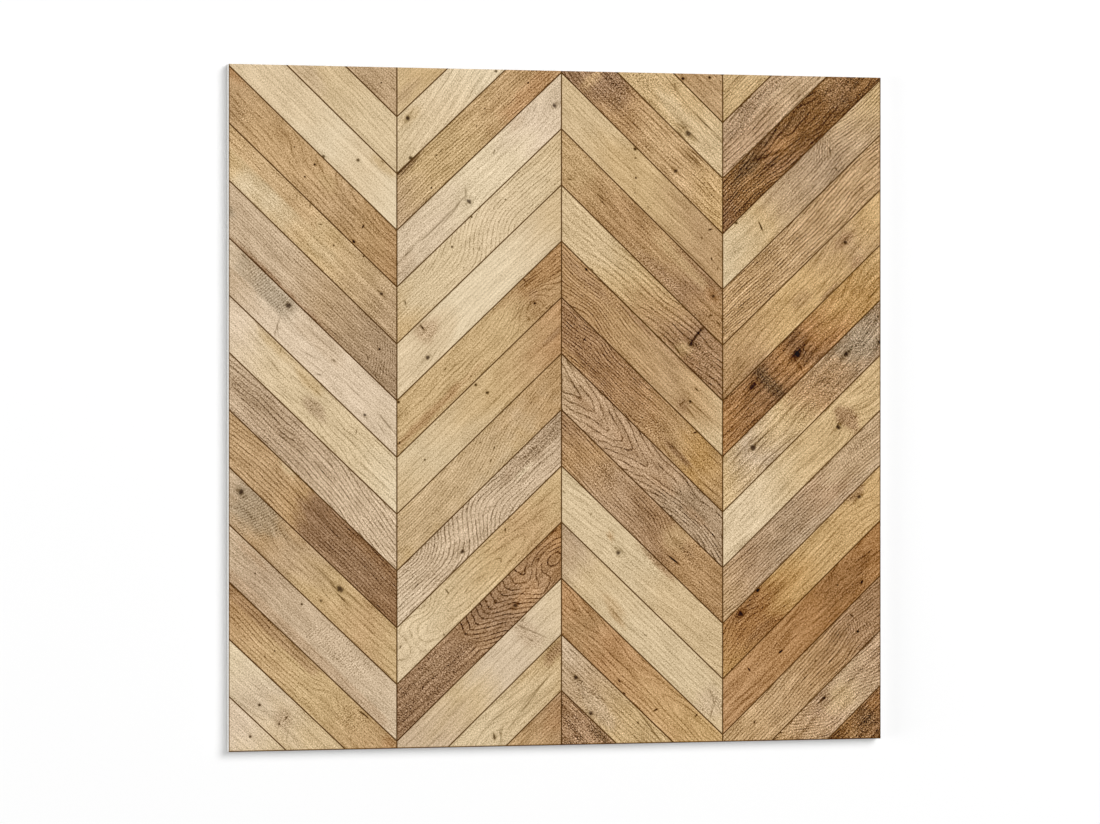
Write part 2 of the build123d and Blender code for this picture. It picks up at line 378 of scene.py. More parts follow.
COLUMN_C = (
    plank("camel 90, malt 110", 2.2, ".4 0", Spot(102, 7.5, 0.6), Spot(93.3, 16.7, 0.7)),
    plank(
        "wheat 64, wheat 80, sand 106", 2.4, ".4 0", Curl(66, 11, 8, 6, 35, 1), Dash(77, 4.4, 18, 8, 0.45),
        Dash(97, 6, 9, 0, 0.55), Dash(108, 6.4, 9, 1, 0.35), Knot(95, 14.6, 1.6, 1.1),
        Dash(90, 14.5, 5, 0, 0.5), Dash(99, 13.8, 7, 0, 0.5), Dash(92, 17.4, 5, 0, 0.5), Spot(75, 3.2, 0.5),
        Patch(84, 11, 12, 3, "sand", 0.8), Dash(92, 12.4, 6, -8, 0.35), streak=1.35,
    ),
    plank(
        "cocoa 32, bronze 50, tan 68, tan 90, honey 112", 1.9, ".8 0", Curl(38, 7, 15, 9, 30, 1),
        Patch(33, 6, 12, 8, "cocoa", 0.5), Patch(29, 11, 2, 6, "tan", 0.9), Knot(85, 12.8, 0.8, 0.9),
        Dash(87, 3.4, 7, -4), Dash(83, 5, 9, 0, 0.3), Dash(88, 0.8, 8, 0, 0.4), wave=1.6, streak=1.3,
    ),
    plank(
        "sand 4, sand 26, wheat 48, wheat 66, malt 96, camel 125", 1.9, ".5 0, .35 60",
        Spot(47.5, 0.6, 0.7), Dash(50.5, 3.5, 1.2, -40), Spot(56.7, 9.8, 0.4), Dash(97.5, 2.5, 2, 120, 0.9),
        Dash(97.2, 8, 1.2), Dash(107, 11.5, 1.4, 30, 0.8), Dash(112, 12.6, 1.2, 60), Spot(69.5, 15.5, 0.3),
        Spot(61, 15, 0.25), Dash(94, 16.9, 26, -1, 0.45), streak=0.85,
    ),
    plank(
        "tan 4, camel 32, bronze 50, camel 72, umber 94, bronze 112", 1.6, ".4 0",
        Band(2.5, 6.5, 62, 103, "wheat", 0.5), Knot(102, 5, 0.9, 0.8), Patch(102, 5, 4, 2.6, "rust"),
        Dash(34, 9.2, 5, 0, 0.5), Dash(36, 10.4, 4, 0, 0.4), Dash(18, 13.5, 2, -40),
        Dash(18, 9.8, 2, 0, 0.4), Curl(75, 15, 15, 3.4, 20, 1), Patch(75, 15, 14, 2.6, "umber", 0.5),
        Dash(112, 12.2, 3), Dash(107, 12.2, 2, 120), Patch(12, 8, 14, 9, "straw", 0.5),
        Patch(50, 6, 10, 5, "bronze", 0.4), streak=1.15,
    ),
    plank(
        "sand 8, sand 32, straw 52, camel 70, umber 86, umber 116", 2.2, ".5 0, 1 80", Knot(92, 9.8, 1, 1),
        Dash(91.2, 4.6, 10, 86, 0.6, 1.1), Dash(36, 17.4, 2), Curl(98, 11, 8, 6, 30, 1),
        Patch(91.8, 4.6, 2, 6, "cocoa", 0.95), Patch(91, 14, 3, 3, "straw", 0.8),
        Patch(97, 16, 5, 3, "walnut", 0.5), Hump(24, 24, 30, 14, -3), lean=-0.03, wave=2, streak=1.2,
    ),
    plank(
        "bronze 8, bronze 32, camel 52, malt 76, tan 92, sand 116", 1.5, "1.3 0, 1.1 44, .3 70",
        Spot(16.7, 1, 0.6), Hump(30, 14, 12, 8, 2), Patch(20, 4, 16, 2, "umber", 0.5),
        Dash(90.7, 4.5, 2, 0, 0.8), Knot(92.3, 10.6, 0.6, 0.5), Dash(99, 10.2, 10, -3, 0.4),
        Patch(91, 14, 2.6, 2.6, "umber"), Dash(90, 13.5, 3, 100, 0.4), Dash(96, 14, 6, 10, 0.35),
        Curl(33, 3, 8, 3, 10, 0.8), Patch(50, 1.2, 8, 1, "umber", 0.8), Patch(70, 0.6, 10, 1, "umber", 0.5),
        wave=1.8,
    ),
    plank(
        "cocoa 4, cocoa 30, umber 50, bronze 68, camel 82, ochre 94, camel 112", 1.5,
        "1.2 0, 1.1 60, .3 84", Hump(34, 26, 30, 16, 5), Hump(69.5, 14, 5, 5, 4), Hump(26, 2, 8, 5, 2),
        Dash(84, 12.7, 9, 0, 0.35), Dash(92, 13.4, 8, 4, 0.3), Dash(109, 14.6, 12, -4, 0.4),
        Patch(88, 13.2, 9, 1, "umber", 0.8), Dash(20.3, 6, 2.6, 80), Dash(86.3, 0.9, 1.8, 120, 0.9),
        Patch(20, 16.5, 9, 1.8, "camel", 0.8), Curl(72, 13, 7, 5, 20, 0.8),
        Patch(24, 9, 34, 14, "chestnut", 0.35), wave=1.8, streak=1.2,
    ),
    plank(
        "fawn 5, hazel 30, hazel 72, taupe 90, taupe 114", 2.9, "1.1 0, 1.1 62, 1.3 80",
        Arches(-30, 66, 8.6, 3.2), Hump(96, 19, 26, 9, 5), Patch(22, 9, 5, 2, "umber", 0.5),
        Patch(48, 8, 6, 2, "umber", 0.5), Patch(75, 10, 6, 2, "umber", 0.5),
        Patch(95, 10, 8, 1.4, "umber", 0.5), wave=1.8, streak=1.3,
    ),
    plank(
        "umber 2, bronze 24, hazel 48, umber 68, bronze 84, bronze 108", 1.3, ".9 0, .8 66, .4 80",
        Hump(80, 10, 12, 12, -5), Patch(78, 4, 6, 6, "straw", 0.5), Dash(83.5, 13, 5, -5, 1),
        Dash(87, 12.6, 8, 0, 0.3), Curl(88, 5, 10, 5, 25, 0.8), Curl(35, 7, 8, 7, -20, 0.8),
        Patch(62, 1, 10, 1.2, "umber"), streak=1.15,
    ),
    plank(
        "linen 8, linen 52, sand 72, sand 112", 2.6, ".35 0", Knot(45.6, 10, 0.9, 1.2),
        Patch(37.7, 7, 1, 1.4, "camel", 0.8), Dash(46, 8, 6, 0, 0.35), Dash(8.7, 7.5, 1.4),
        Dash(24.5, 6, 1.4, 70, 0.4), Patch(62, 0.6, 9, 1.6, "umber", 0.7), Curl(63, 2.5, 8, 3, 50, 1),
        lean=-0.1, wave=1.5,
    ),
    plank(
        "dusk 5, sand 28, linen 60, linen 92, sand 114", 2.2, ".3 0, .5 70",
        Patch(47, 13.5, 5, 1.4, "camel"), Patch(42, 10.5, 6, 2, "tan", 0.4), Patch(106, 12, 6, 6, "stone"),
        Dash(107.5, 10.5, 5, 75, 0.4), Dash(109.5, 14, 6, 65, 0.4), Dash(103, 8, 3, 30, 0.4),
        Dash(63, 10, 1.6, 150, 0.5), Dash(102, 4, 2, 140, 0.4), Patch(8, 9, 7, 9, "fawn", 0.5),
        Curl(107, 11, 5, 6, -30, 1), streak=0.95,
    ),
    plank(
        "rust 8, bronze 28, rust 38, honey 94", 1.7, ".7 0", Heart(-6, 5, 62, 7.5), Heart(96, 6, 26, 4.6),
        Dash(72.3, 13, 2.2, 110, 1, 0.8), Dash(51, 15, 1.6, 0, 0.9), Dash(56.4, 17.4, 1.4, 0, 0.9),
        Dash(88, 2, 1.8, 85, 0.9), wave=1.2,
    ),
    plank(
        "stone 2, fawn 26, straw 52", 1.8, ".7 0", Knot(18, 9.2, 0.9, 0.9), Knot(34, 16.2, 0.9, 0.9),
        Curl(32, 12, 14, 5, 60, 1), Hump(34, 18, 8, 7, 3), Patch(34, 13, 10, 4, "stone", 0.5),
        Dash(58, 2, 19, 9, 0.55), Dash(53, 4.5, 1.2), Dash(8, 2, 2, 0, 0.4), streak=1.2,
    ),
    plank(
        "umber 8, umber 30", 1.8, ".7 0", Curl(21, 8, 10, 8, 35, 1), Patch(25, 2, 4, 2, "bark", 0.8),
        Patch(19, 6, 7, 5, "cocoa", 0.5), streak=1.6,
    ),
)

COLUMN_D = (
    plank("straw 100", 1.3, ".8 0", streak=1.3),
    plank(
        "fawn 64, hazel 88, hazel 112", 1.8, "1.1 0", Curl(88, 5, 20, 5, 15, 0.9),
        Dash(88, 9.2, 14, 1, 0.45), Patch(92, 4, 18, 4, "taupe", 0.5), Hump(80, 2, 22, 8, 2), streak=1.3,
    ),
    plank(
        "peat 28, peat 48, peat 62, walnut 74, peat 84, peat 98, walnut 112", 1.7, ".6 0, .8 60, 1.2 80",
        Hump(60, -5, 26, 12, 5), Hump(98, 22, 34, 14, 4), Curl(34, 8, 12, 8, 35, 1),
        Patch(36, 9, 8, 6, "cocoa", 0.4), Patch(40, 2, 4, 2, "camel", 0.4), Patch(70, 7, 12, 3, "chestnut"),
        Patch(62, 4, 8, 2, "bark", 0.4), Patch(77, 1, 6, 1.4, "bark"), Patch(91, 4, 9, 3, "bark", 0.7),
        Dash(80, 7, 14, -24, 0.3, 1.4), wave=2, streak=1.4,
    ),
    plank(
        "straw 4, fawn 30, taupe 50, fawn 70, wheat 86, linen 112", 1.3, "1.3 0, 1 55, .1 80",
        Curl(42, 4, 6, 5, -45), Dash(87.7, 9.8, 4.6, 70, 1, 0.7), Spot(95, 0.6, 0.6), Dash(40, 7, 2, 60),
        Dash(43.5, 15, 2, 80), Hump(38, 6, 10, 14, 2), streak=1.15,
    ),
    plank(
        "malt 8, malt 60, camel 90", 1.3, "1 0, 1.5 90", Hump(14, -4, 40, 17, 4), Hump(124, 24, 30, 18, 5),
        wave=1.3, streak=1.35,
    ),
    plank(
        "honey 8, malt 32, honey 54, honey 74, camel 92, bronze 112", 1.9, ".4 0",
        Knot(28.8, 5.7, 0.7, 0.9), Patch(28.6, 4.6, 5, 2, "umber"), Hump(29, 4, 7, 4, 2),
        Patch(62, 10.5, 5, 3, "camel"), Patch(98, 17, 8, 1.2, "umber"), Patch(50, 17, 6, 1.2, "umber"),
        Dash(52, 13, 12, 8, 0.3), Patch(31, 16, 3, 1.6, "umber", 0.5), lean=0.06, streak=1.2,
    ),
    plank(
        "honey 2, ochre 20, ochre 28, chestnut 48, walnut 60, chestnut 68, walnut 84, chestnut 112", 2.6,
        ".5 0, .6 50, .8 90", Knot(63, 8.7, 1.4, 1.5), Patch(81.5, 9, 2.6, 10, "bark", 0.8),
        Curl(81.5, 9, 3, 9, 5, 0.8), Knot(88.5, 4.7, 1.5, 1.1), Dash(60, 8, 14, 0, 0.45),
        Dash(66, 13, 8, 80, 0.3, 0.9), Dash(94, 5, 10, 0, 0.4), Dash(17, 13.5, 8, 5, 0.5),
        Hump(10, 0, 18, 9, 3), wave=1.6, streak=1.4,
    ),
    plank(
        "taupe 8, taupe 24, bronze 52, wheat 66, stone 90, wheat 108", 2.4, ".6 0",
        Patch(20, 7, 10, 7, "smoke", 0.5), Curl(46, 9, 14, 8, 50, 1), Curl(16, 8, 14, 8, 20, 1),
        Knot(29, 6.6, 1, 1.1), Spot(13.5, 13.5, 0.7), Knot(90, 6.7, 1.4, 1.2), Dash(84, 6.5, 8),
        Dash(96, 4, 8, 6, 0.5), Dash(88, 3.4, 6, 5, 0.45), Dash(87, 9, 6, 0, 0.4), Dash(92, 15, 7, 2, 0.5),
        Dash(80, 15.8, 18, -5, 0.5), Dash(61, 10, 12, 0, 0.45), Dash(33, 10, 5, 5, 0.4), wave=1.5,
        streak=1.6,
    ),
    plank(
        "wheat 8, wheat 40, wheat 50, sand 70, oat 92, oat 112", 2.4, ".9 0, .4 60",
        Patch(31, 10, 3.4, 7, "umber", 0.75), Curl(31, 10, 5, 7, 20, 1), Knot(37.3, 9.8, 1, 1.1),
        Dash(36, 8.6, 6, 20, 0.5), Hump(31, 10, 8, 8, 2), Hump(66, 8, 18, 6, 1), streak=1.2,
    ),
    plank(
        "fawn 8, fawn 34, hazel 44, taupe 66, hazel 90, malt 114", 1.25, "1.15 0",
        Patch(50, 16.2, 45, 2, "stone", 0.4), Curl(22, 5, 10, 5, -20, 0.7), lean=-0.03, streak=1.15,
    ),
    plank(
        "honey 8, honey 54, ochre 72, chestnut 88, chestnut 96, ochre 124", 2.2, ".6 0",
        Knot(17.5, 3.2, 1, 0.8), Patch(17, 1, 4, 2, "umber"), Dash(50, 1.8, 34, 1, 0.3),
        Knot(94, 2.6, 0.8, 1.2), Hump(94, 3, 8, 5, 2), Patch(92, 2, 8, 3, "walnut", 0.35),
        Patch(94, 15, 7, 2, "walnut", 0.4), Spot(81, 0.5, 0.8), Hump(95, 19, 15, 8, 5),
        Hump(10, 8, 9, 8, -2), streak=1.2,
    ),
    plank(
        "chestnut 10, chestnut 46, rust 108", 1.8, ".45 0", Heart(-8, 4.5, 66, 6.5), Heart(94, -1, 30, 4.5),
        Dash(25.7, 14, 1.6, 20, 1, 0.8), Dash(75, 10, 2, -10, 1, 0.8), Dash(91.3, 5.3, 1.8, 85, 0.9, 0.7),
        Patch(32, 8, 14, 8, "walnut", 0.35), Spot(35, 7, 0.3), wave=1.2,
    ),
    plank(
        "umber 6, umber 30, bronze 45, malt 70, tan 94", 1.3, ".7 0, 1.1 32, 1.1 90",
        Curl(24, 10, 6, 7, -30, 0.5), Spot(25.3, 10.8, 0.5), Dash(22.5, 3.4, 2.6, 95, 0.7),
        Dash(88.6, 6.3, 1.4, 30, 0.9), Hump(26, 9, 10, 9, 2), Dash(49, 6.4, 1.2), Hump(44, -4, 26, 14, 2),
        streak=1.15,
    ),
    plank(
        "hazel 8, fawn 26, hazel 46, camel 66", 1.5, "1.6 0, .5 32, 1.3 50", Fall(10, 36, -8),
        Fall(42, 74, -16), Knot(40.5, 3.2, 1, 0.6), Curl(58, 7, 12, 8, 50, 0.2),
        Patch(35, 9, 7, 5, "wheat"), wave=1.6, streak=1.6,
    ),
    plank(
        "walnut 8, peat 28", 1.7, ".8 0", Curl(19, 9, 9, 7, 35, 1), Patch(7, 4, 6, 3, "chestnut", 0.7),
        Patch(15, 5, 4, 4, "bark", 0.4), Patch(24, 7, 4, 2, "bronze", 0.4), streak=1.5,
    ),
)
PLANKS = COLUMN_A + COLUMN_B + COLUMN_C + COLUMN_D


def linear(rgb):
    """Linear colour of an sRGB one out of 255."""
    c = np.asarray(rgb) / 255
    return np.where(c < 0.04045, c / 12.92, ((c + 0.055) / 1.055) ** 2.4)


# The print's mesh
def rules(width):
    """Where mesh lines lie across a plank: groove floor and bevel on both sides, and even cells between."""
    bottom, bevel = GROOVE_FLOOR_WIDTH / 2, GROOVE_WIDTH / 2
    cells = round((width - 2 * bevel) / MESH_CELL)
    inner = np.linspace(bevel, width - bevel, cells + 1)
    return np.concatenate([[0, bottom], inner, [width - bottom]])


def joint_height(x):
    """Height at x of the first joint, which falls from each ridge seam to the valley seams beside it."""
    from_ridge = np.abs((x + HALF_SIDE + COLUMN_WIDTH) % (2 * COLUMN_WIDTH) - COLUMN_WIDTH)
    return HALF_SIDE - FIRST_JOINT_INSET - JOINT_FALL * from_ridge / COLUMN_WIDTH


def pressed_grid():
    """A sheared grid over the whole face, with the grooves pressed in, as points and quads."""
    across_column = rules(COLUMN_WIDTH)
    down_plank = rules(PLANK_WIDTH) / cos(JOINT_ANGLE)
    nx, ny = len(across_column), len(down_plank)
    columns = [c * COLUMN_WIDTH + across_column for c in range(COLUMNS)]
    x = np.concatenate(columns + [[TILE_SIDE]]) - HALF_SIDE
    lines = range(-PLANKS_ABOVE_EDGE, PLANKS_ALONG_SEAM)
    down = np.concatenate([k * JOINT_PITCH + down_plank for k in lines] + [[TILE_SIDE]])
    pressed_x = np.isin(np.arange(len(x)) % nx, (0, 1, nx - 1))
    pressed_y = np.isin(np.arange(len(down)) % ny, (0, 1, ny - 1))
    gx, gd = np.meshgrid(x, down, indexing="ij")
    pressed = pressed_x[:, None] | pressed_y[None, :]
    z = np.where(pressed, FACE_HEIGHT - GROOVE_DEPTH, FACE_HEIGHT)
    points = np.stack([gx, joint_height(gx) - gd, z], -1).reshape(-1, 3)
    corner = np.arange(len(x) * len(down)).reshape(len(x), len(down))
    quads = np.stack([corner[:-1, :-1], corner[:-1, 1:], corner[1:, 1:], corner[1:, :-1]], -1)
    return points, quads.reshape(-1, 4)


def cut(bm, y, side, clear):
    """Cuts the mesh straight across at side times y, and clears what is beyond it if clear is set."""
    bmesh.ops.bisect_plane(
        bm,
        geom=bm.verts[:] + bm.edges[:] + bm.faces[:],
        dist=CUT_TOLERANCE,
        plane_co=(0, side * y, 0),
        plane_no=(0, side, 0),
        clear_outer=clear,
    )


def film_mesh():
    """The printed film, closed and in millimetres: pressed face, bevelled rim, cut edge and underside."""
    points, quads = pressed_grid()
    mesh = bpy.data.meshes.new("printed_face")
    mesh.from_pydata(points.tolist(), [], quads.tolist())
    bevel = (GROOVE_WIDTH - GROOVE_FLOOR_WIDTH) / 2
    bm = bmesh.new()
    bm.from_mesh(mesh)
    for side in (-1, 1):
        cut(bm, HALF_SIDE, side, clear=True)
        cut(bm, HALF_SIDE - bevel, side, clear=False)
    for v in bm.verts:
        into_bevel = max(0.0, abs(v.co.y) - (HALF_SIDE - bevel)) / bevel
        v.co.z = min(v.co.z, FACE_HEIGHT - GROOVE_DEPTH * into_bevel)
    rim = [e for e in bm.edges if e.is_boundary]
    wall = bmesh.ops.extrude_edge_only(bm, edges=rim)["geom"]
    for part in wall:
        if isinstance(part, bmesh.types.BMVert):
            part.co.z = FILM_UNDERSIDE
    under = bmesh.ops.contextual_create(bm, geom=[e for e in bm.edges if e.is_boundary])["faces"]
    for part in wall + under:
        if isinstance(part, bmesh.types.BMFace):
            part.material_index = CUT_EDGE
    bmesh.ops.recalc_face_normals(bm, faces=bm.faces)
    bm.to_mesh(mesh)
    bm.free()
    return mesh


def mesh_points(mesh):
    """The mesh's points, one row each."""
    co = np.empty(len(mesh.vertices) * 3)
    mesh.vertices.foreach_get("co", co)
    return co.reshape(-1, 3)


# Fields painted on the print, with lengths in millimetres
DISPLAY_GAMMA = 2.2
JOINT_SHADE_SHIFT = 0.2  # the dark joints are drawn this far up from the grooves, as painted shade on the upper plank's bevel
SHADED_RIM_NARROWING = 0.6  # the lower and right rims count as this much nearer, so the painted shade lines along them are wider
SEEDS_A_PLANK = 10
NOISE_SHIFT = 150  # from one plank to the next, so that no two have the same fine grain
WAVER_FINENESS = (0.5, 0.8, 1.1, 1.5, 2.1, 3.0)
BAND_SIDE_FADE = 0.8
BAND_END_FADE = 8
ARCH_TIP = 1.2
RIPPLE_PITCH = 1.2
RIPPLE_BOW = 0.012


def places_on_planks(x, y):
    """For points of the face: the plank, the way along and across it, and to its seam, joint and lower or
    right rim, where painted shade runs.
    """
    column = np.clip(np.floor((x + HALF_SIDE) / COLUMN_WIDTH), 0, COLUMNS - 1)
    left = column * COLUMN_WIDTH - HALF_SIDE
    from_ridge = np.where(column % 2 == 0, x - left, left + COLUMN_WIDTH - x)
    below_first = HALF_SIDE - FIRST_JOINT_INSET - y
    line = np.floor((below_first - JOINT_FALL * from_ridge / COLUMN_WIDTH) / JOINT_PITCH)
    line = np.clip(line, -PLANKS_ABOVE_EDGE, PLANKS_ALONG_SEAM - 1)
    down = below_first - line * JOINT_PITCH
    along = from_ridge * cos(JOINT_ANGLE) + down * sin(JOINT_ANGLE)
    across = down * cos(JOINT_ANGLE) - from_ridge * sin(JOINT_ANGLE)
    plank_number = column * PLANKS_A_COLUMN + line + PLANKS_ABOVE_EDGE
    to_seam = np.minimum(from_ridge, COLUMN_WIDTH - from_ridge)
    to_shaded_joint = np.minimum(across + JOINT_SHADE_SHIFT, np.abs(PLANK_WIDTH - across - JOINT_SHADE_SHIFT))
    to_shaded_rim = np.minimum(y + HALF_SIDE, HALF_SIDE - x) * SHADED_RIM_NARROWING
    return plank_number.astype(int), along, across, np.stack([to_seam, to_shaded_joint, to_shaded_rim], -1)


def stops(text):
    """Splits "tan 10, wheat 50" into its values and its places along the plank."""
    pairs = [item.split() for item in text.split(",")]
    return [value for value, _ in pairs], [float(place) for _, place in pairs]


def waver(u, v, seed, length, width):
    """Smooth noise of about -1 to 1 that varies over a length along and a width across."""
    rng = np.random.default_rng(seed)
    total = np.zeros_like(u)
    for finer in WAVER_FINENESS:
        heading = rng.uniform(-1.2, 1.2)
        turns = finer * (cos(heading) * u / length + sin(heading) * v / width)
        total += np.sin(2 * pi * (turns + rng.uniform())) / (0.5 + finer)
    return total / 1.5


def soft_step(x):
    """0 below 0, 1 above 1 and smooth between."""
    x = np.clip(x, 0, 1)
    return x * x * (3 - 2 * x)


def marks_of(wood, *kinds):
    """The plank's features of these kinds, in their order."""
    return [mark for mark in wood.features if isinstance(mark, kinds)]


def oval(u, v, place, edge=0.0):
    """Distance from a place in its own half lengths, with its outline moved in and out by edge."""
    return np.hypot((u - place.along) / place.length, (v - place.across) / place.width) + edge


def paint_tone(wood, u, v, seed):
    """The smooth colour of a plank before its grain, as a display value that DISPLAY_GAMMA makes linear."""
    names, places = stops(wood.tones)
    colours = np.array([TONES[name] for name in names]) / 255
    drift = 5 * waver(u, v, seed, 60, 14)
    tone = np.stack([np.interp(u + drift, places, colours[:, i]) for i in range(3)], -1)
    edge = waver(u, v, seed + 1, 9, 5)
    for mark in marks_of(wood, Patch, Band):
        if isinstance(mark, Patch):
            shown = soft_step(1.6 - oval(u, v, mark, 0.2 * edge))
        else:
            shown = soft_step((v - mark.across_from) / BAND_SIDE_FADE + 0.5)
            shown *= soft_step((mark.across_to - v) / BAND_SIDE_FADE + 0.5)
            shown *= soft_step((u - mark.along_from) / BAND_END_FADE + 0.3 * edge)
            shown *= soft_step((mark.along_to - u) / BAND_END_FADE + 0.3 * edge)
        tone += (np.array(TONES[mark.tone]) / 255 - tone) * (mark.amount * shown)[:, None]
    return linear(tone * 255) ** (1 / DISPLAY_GAMMA)


def heart_distance(u, fibre, mark):
    """Distance across the ovals of a heart, which grow no more beyond its half length."""
    end = mark.length * np.tanh(np.abs(u - mark.along) / mark.length) / mark.stretch
    return np.hypot(end, fibre - mark.across)


def run_of_grain(wood, u, v, seed):
    """The fibre coordinate, in mm across, and the growth ring coordinate, in rings."""
    fibre = v - wood.lean * u + 0.55 * wood.wave * waver(u, v, seed + 2, 80, 60)
    fibre += 0.10 * wood.wave * waver(u, v, seed + 3, 24, 30)
    for mark in marks_of(wood, Knot):
        away = v - mark.across
        reach = np.hypot((u - mark.along) / (3.2 * mark.length), away / (3 * mark.width))
        fibre -= away / np.hypot(away, 0.7 * mark.width) * 1.1 * mark.width * np.exp(-reach ** 2)
    rings = fibre / wood.pitch
    hearts = [heart_distance(u, fibre, mark) for mark in marks_of(wood, Heart)]
    if hearts:
        rings = np.minimum.reduce(hearts) / wood.pitch
    for mark in marks_of(wood, Arches):
        off = fibre - mark.across
        tip = np.clip(u, mark.along_from, mark.along_to) / mark.sweep
        rings = (np.hypot(off, ARCH_TIP) + mark.slant * off + tip) / wood.pitch
    for mark in marks_of(wood, Hump):
        rings += mark.rings * np.exp(-oval(u, v, mark) ** 2)
    for mark in marks_of(wood, Fall):
        run = (u - mark.tilt * v - mark.along_from) / (mark.along_to - mark.along_from)
        rings -= mark.drop / wood.pitch * soft_step(run)
    rings += 0.10 * wood.wave * waver(u, v, seed + 4, 20, 8)
    return fibre, rings


def crowding(wood, u, v, seed):
    """Growth rings per millimetre at each place."""
    nudge = 0.05
    here = run_of_grain(wood, u, v, seed)[1]
    further = run_of_grain(wood, u + nudge, v, seed)[1]
    wider = run_of_grain(wood, u, v + nudge, seed)[1]
    return np.hypot(further - here, wider - here) / nudge


def outline(mark):
    """A hole's, crack's or knot's half length, half width, turn, reach beyond its edge and strength."""
    if isinstance(mark, Spot):
        return mark.radius, mark.radius * 0.9, 0.0, 2.2 + 2 * mark.radius, 1.0
    if isinstance(mark, Dash):
        return mark.length / 2, mark.width / 2, radians(mark.turn), 2.6, mark.strength
    return mark.length, mark.width, 0.0, 3 + 4 * mark.length, 1.0


def nearest_mark(u, v, marks):
    """Way to the nearest mark, in its half sizes and turn, and its strength where it is close enough."""
    best = np.full(u.shape, np.inf)
    way = np.zeros((len(u), 3))
    for mark in marks:
        length, width, turn, reach, strength = outline(mark)
        du, dv = u - mark.along, v - mark.across
        a = (du * cos(turn) + dv * sin(turn)) / length
        b = (dv * cos(turn) - du * sin(turn)) / width
        far = np.hypot(a, b)
        closer = far < best
        best = np.where(closer, far, best)
        beyond = np.hypot(np.maximum(np.abs(a) - 1, 0) * length, np.maximum(np.abs(b) - 1, 0) * width)
        way[closer] = np.stack([a, b, (beyond < reach) * strength], -1)[closer]
    return way


def ripples(wood, u, v, seed):
    """Phase, strength and raggedness of the cross-grain figure."""
    phase, shown, ragged = np.zeros_like(u), np.zeros_like(u), np.zeros_like(u)
    edge = waver(u, v, seed + 5, 10, 6)
    for mark in marks_of(wood, Curl):
        turn = radians(mark.turn)
        here = soft_step((1.25 - oval(u, v, mark, 0.15 * edge)) * 2)
        off = v - mark.across
        own = ((u - mark.along) * cos(turn) + off * sin(turn) + RIPPLE_BOW * off ** 2) / RIPPLE_PITCH
        stronger = here > shown
        phase = np.where(stronger, own, phase)
        ragged = np.where(stronger, mark.ragged, ragged)
        shown = np.maximum(shown, here)
    return np.stack([phase, shown, ragged], -1)


def paint_print(mesh):
    """Writes every field of the print on the mesh, which is still in millimetres."""
    x, y, _ = mesh_points(mesh).T
    number, along, across, dark_lines = places_on_planks(x, y)
    names = ("grain", "style", "curl", "mark", "next_mark", "knot")
    fields = {name: np.zeros((len(x), 3)) for name in names}
    fields["dark_lines"] = dark_lines
    tone = np.ones((len(x), 4))
    crowded = np.zeros(len(x))
    for index, wood in enumerate(PLANKS):
        here = number == index
        u, v, seed = along[here], across[here], SEEDS_A_PLANK * index
        tone[here, :3] = paint_tone(wood, u, v, seed)
        fibre, rings = run_of_grain(wood, u, v, seed)
        depths, places = stops(wood.depth)
        ring_depth = np.interp(u, places, [float(d) for d in depths])
        fields["grain"][here] = np.stack([u + NOISE_SHIFT * index, fibre, rings], -1)
        fields["style"][here] = np.stack([ring_depth, np.full_like(u, wood.streak), rings * wood.pitch], -1)
        fields["curl"][here] = ripples(wood, u, v, seed)
        crowded[here] = crowding(wood, u, v, seed)
        small = marks_of(wood, Spot, Dash)
        fields["mark"][here] = nearest_mark(u, v, small[::2])
        fields["next_mark"][here] = nearest_mark(u, v, small[1::2])
        fields["knot"][here] = nearest_mark(u, v, marks_of(wood, Knot))
    for name, values in fields.items():
        layer = mesh.attributes.new(name, "FLOAT_VECTOR", "POINT")
        layer.data.foreach_set("vector", values.ravel())
    mesh.attributes.new("tone", "FLOAT_COLOR", "POINT").data.foreach_set("color", tone.ravel())
    mesh.attributes.new("crowding", "FLOAT", "POINT").data.foreach_set("value", crowded)


def map_print(mesh):
    """A bake map: the face has most of the image, the cut edge a border and the underside a corner."""
    face_share, gap, border, corner = 0.96, 0.004, 0.012, 0.008
    layer = mesh.uv_layers.new(name="OFBake")
    co = mesh_points(mesh)
    vertex = np.empty(len(mesh.loops), int)
    mesh.loops.foreach_get("vertex_index", vertex)
    face = np.repeat(np.arange(len(mesh.polygons)), [p.loop_total for p in mesh.polygons])
    normal = np.array([p.normal for p in mesh.polygons])[face]
    place = co[vertex, :2] / HALF_SIDE
    flat = 0.5 + place * face_share / 2
    wall_top = FACE_HEIGHT - GROOVE_DEPTH
    depth = (wall_top - co[vertex, 2]) / (wall_top - FILM_UNDERSIDE)
    wall = (np.abs(normal[:, 2]) < 0.1)[:, None]
    outward = np.round(normal[:, :2]) * (gap + border * depth[:, None])
    under = (normal[:, 2] < -0.5)[:, None]
    uv = np.where(under, corner * (0.5 + place / 2), flat + np.where(wall, outward, 0))
    layer.data.foreach_set("uv", uv.ravel())


# Materials
class Value:
    """A node's output, so that a material's formulas can be written with the usual signs."""

    def __init__(self, graph, socket):
        self.graph = graph
        self.socket = socket

    def __add__(self, other):
        return self.graph.math("ADD", self, other)

    def __sub__(self, other):
        return self.graph.math("SUBTRACT", self, other)

    def __mul__(self, other):
        return self.graph.math("MULTIPLY", self, other)

    def __truediv__(self, other):
        return self.graph.math("DIVIDE", self, other)

    def __pow__(self, other):
        return self.graph.math("POWER", self, other)

    def __abs__(self):
        return self.graph.math("ABSOLUTE", self)


